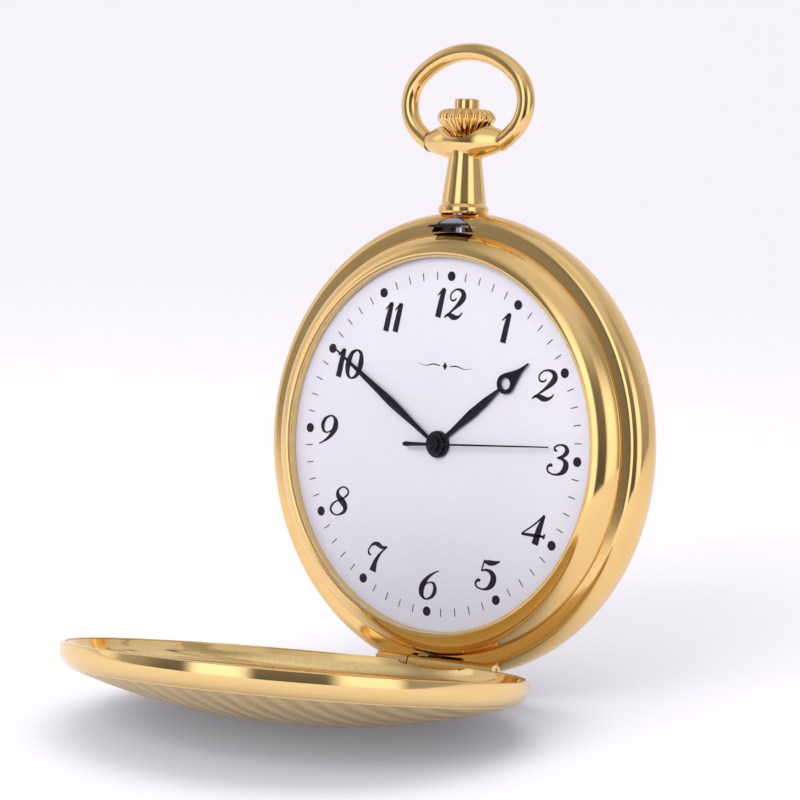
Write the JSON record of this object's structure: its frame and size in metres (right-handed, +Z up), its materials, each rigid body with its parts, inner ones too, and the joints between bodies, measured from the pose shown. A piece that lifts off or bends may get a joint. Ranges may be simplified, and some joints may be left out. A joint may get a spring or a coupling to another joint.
{
  "type": "pocket watch",
  "caption": "A gold-coloured hunter-case quartz pocket watch, its engraved front lid hinged open at the bottom, white dial with upright numerals, ribbed crown and round bow.",
  "frame": {"origin": "centre of the flat of the back cover, on the axis the hands turn about", "axes": "+Z up, towards 12 o'clock and the crown; -Y the front, out through the crystal; +X towards 3 o'clock"},
  "size_m": [0.0482, 0.0515, 0.0688],
  "materials": {
    "gold_polished": "polished gold-coloured plating on brass",
    "gold_lid": "gold-coloured plating on brass, engine turned outside and satin inside",
    "steel_parts": "plain hardened steel",
    "movement_plate": "nickelled brass",
    "train_brass": "plain brass",
    "rotor_magnet": "sintered magnet on a steel arbor",
    "coil_copper": null,
    "soft_iron": "nickel iron laminations",
    "battery_steel": "stainless steel",
    "circuit_laminate": "glass-epoxy board",
    "holder_plastic": "moulded plastic holder",
    "dial_white": "white enamelled brass",
    "crystal_glass": "mineral glass",
    "white_nylon": "white nylon gasket",
    "black_rubber": "nitrile rubber",
    "hand_black": "blackened brass"
  },
  "bodies": {
    "case": {"case_middle": "gold_polished", "pendant": "gold_polished", "bezel": "gold_polished", "crystal": "crystal_glass", "crystal_gasket": "white_nylon", "back_cover": "gold_polished", "back_cover_gasket": "black_rubber", "lid_hinge_pin": "steel_parts", "lid_lift_spring": "steel_parts", "lid_catch_spring": "steel_parts", "case_spring_screws": "steel_parts", "movement_ring": "holder_plastic", "dial": "dial_white", "main_plate": "movement_plate", "battery": "battery_steel", "battery_clamp": "battery_steel", "coil_winding": "coil_copper", "coil_core": "soft_iron", "stator": "soft_iron", "train_bridge": "movement_plate", "bridge_screws": "steel_parts", "circuit_board": "circuit_laminate", "quartz_resonator": "battery_steel", "casing_clamps": "steel_parts", "casing_screws": "steel_parts"},
    "lid": {"front_lid": "gold_lid"},
    "bow": {"bow": "gold_polished"},
    "crown_slide": {"crown_gasket": "black_rubber"},
    "crown": {"crown": "gold_polished", "crown_sleeve": "steel_parts", "setting_stem": "steel_parts", "pusher_spring": "steel_parts"},
    "pusher": {"pusher_button": "gold_polished", "pusher_collar": "steel_parts", "pusher_cross_pin": "steel_parts"},
    "catch": {"lid_catch": "steel_parts"},
    "sliding_pinion": {"sliding_pinion": "steel_parts"},
    "setting_lever": {"setting_lever": "steel_parts"},
    "yoke": {"yoke": "steel_parts"},
    "seconds": {"seconds_wheel": "train_brass", "seconds_hand": "hand_black"},
    "minute": {"centre_wheel": "train_brass", "minute_hand": "hand_black"},
    "hour": {"hour_wheel": "train_brass", "hour_hand": "hand_black"},
    "third_wheel": {"third_wheel": "train_brass"},
    "intermediate_wheel": {"intermediate_wheel": "train_brass"},
    "rotor": {"rotor": "rotor_magnet"},
    "minute_wheel": {"minute_wheel": "train_brass"},
    "setting_wheel": {"setting_wheel": "steel_parts"}
  },
  "joints": [
    {"name": "lid_hinge", "type": "hinge", "parent": "case", "child": "lid", "pos_m": [0, -0.00575, -0.0229], "axis": [1, 0, 0], "range_deg": [-85, 3]},
    {"name": "bow_swing", "type": "hinge", "parent": "case", "child": "bow", "pos_m": [0, -0.0038, 0.0315], "axis": [1, 0, 0], "range_deg": [-90, 90]},
    {"name": "crown_pull", "type": "slide", "parent": "case", "child": "crown_slide", "axis": [0, 0, 1], "range_m": [0, 0.001]},
    {"name": "crown_turn", "type": "hinge", "parent": "crown_slide", "child": "crown", "pos_m": [0, -0.0038, 0.033], "axis": [0, 0, 1], "continuous": true},
    {"name": "pusher_press", "type": "slide", "parent": "crown", "child": "pusher", "axis": [0, 0, -1], "range_m": [0, 0.0004], "deforming": ["pusher_spring"]},
    {"name": "catch_release", "type": "slide", "parent": "case", "child": "catch", "axis": [0, 0, -1], "range_m": [0, 0.0004], "deforming": ["lid_catch_spring"]},
    {"name": "pinion_shift", "type": "slide", "parent": "crown", "child": "sliding_pinion", "axis": [0, 0, -1], "range_m": [0, 0.0012]},
    {"name": "setting_lever_swing", "type": "hinge", "parent": "case", "child": "setting_lever", "pos_m": [0.0036, -0.0066, 0.01162], "axis": [0, 1, 0], "range_deg": [0, 18.5]},
    {"name": "yoke_swing", "type": "hinge", "parent": "case", "child": "yoke", "pos_m": [-0.0036, -0.0066, 0.0104], "axis": [0, 1, 0], "range_deg": [0, 4.3]},
    {"name": "seconds_turn", "type": "hinge", "parent": "case", "child": "seconds", "pos_m": [0, -0.0066, 0], "axis": [0, 1, 0], "continuous": true},
    {"name": "minute_turn", "type": "hinge", "parent": "case", "child": "minute", "pos_m": [0, -0.0066, 0], "axis": [0, 1, 0], "continuous": true},
    {"name": "hour_turn", "type": "hinge", "parent": "case", "child": "hour", "pos_m": [0, -0.0066, 0], "axis": [0, 1, 0], "continuous": true},
    {"name": "third_wheel_turn", "type": "hinge", "parent": "case", "child": "third_wheel", "pos_m": [-0.00353, -0.0066, 0.00204], "axis": [0, 1, 0], "continuous": true},
    {"name": "intermediate_turn", "type": "hinge", "parent": "case", "child": "intermediate_wheel", "pos_m": [-0.00144, -0.0066, -0.00249], "axis": [0, 1, 0], "continuous": true},
    {"name": "rotor_turn", "type": "hinge", "parent": "case", "child": "rotor", "pos_m": [-0.00324, -0.0066, -0.00464], "axis": [0, 1, 0], "continuous": true},
    {"name": "minute_wheel_turn", "type": "hinge", "parent": "case", "child": "minute_wheel", "pos_m": [0.00216, -0.0066, 0.00374], "axis": [0, 1, 0], "continuous": true},
    {"name": "setting_wheel_turn", "type": "hinge", "parent": "case", "child": "setting_wheel", "pos_m": [0, -0.0066, 0.00789], "axis": [0, 1, 0], "continuous": true}
  ],
  "couplings": [
    {"joint": "catch_release", "follows": "pusher_press", "ratio": 1},
    {"joint": "pinion_shift", "follows": "crown_pull", "ratio": 1.2},
    {"joint": "setting_lever_swing", "follows": "crown_pull", "rad_per_m": 321.14},
    {"joint": "yoke_swing", "follows": "crown_pull", "rad_per_m": 73.304},
    {"joint": "minute_turn", "follows": "seconds_turn", "ratio": 0.016667},
    {"joint": "hour_turn", "follows": "seconds_turn", "ratio": 0.0013889},
    {"joint": "third_wheel_turn", "follows": "seconds_turn", "ratio": -0.13333},
    {"joint": "intermediate_turn", "follows": "seconds_turn", "ratio": -5},
    {"joint": "rotor_turn", "follows": "seconds_turn", "ratio": 30},
    {"joint": "minute_wheel_turn", "follows": "seconds_turn", "ratio": -0.0055556},
    {"joint": "setting_wheel_turn", "follows": "seconds_turn", "ratio": 0.0125}
  ]
}
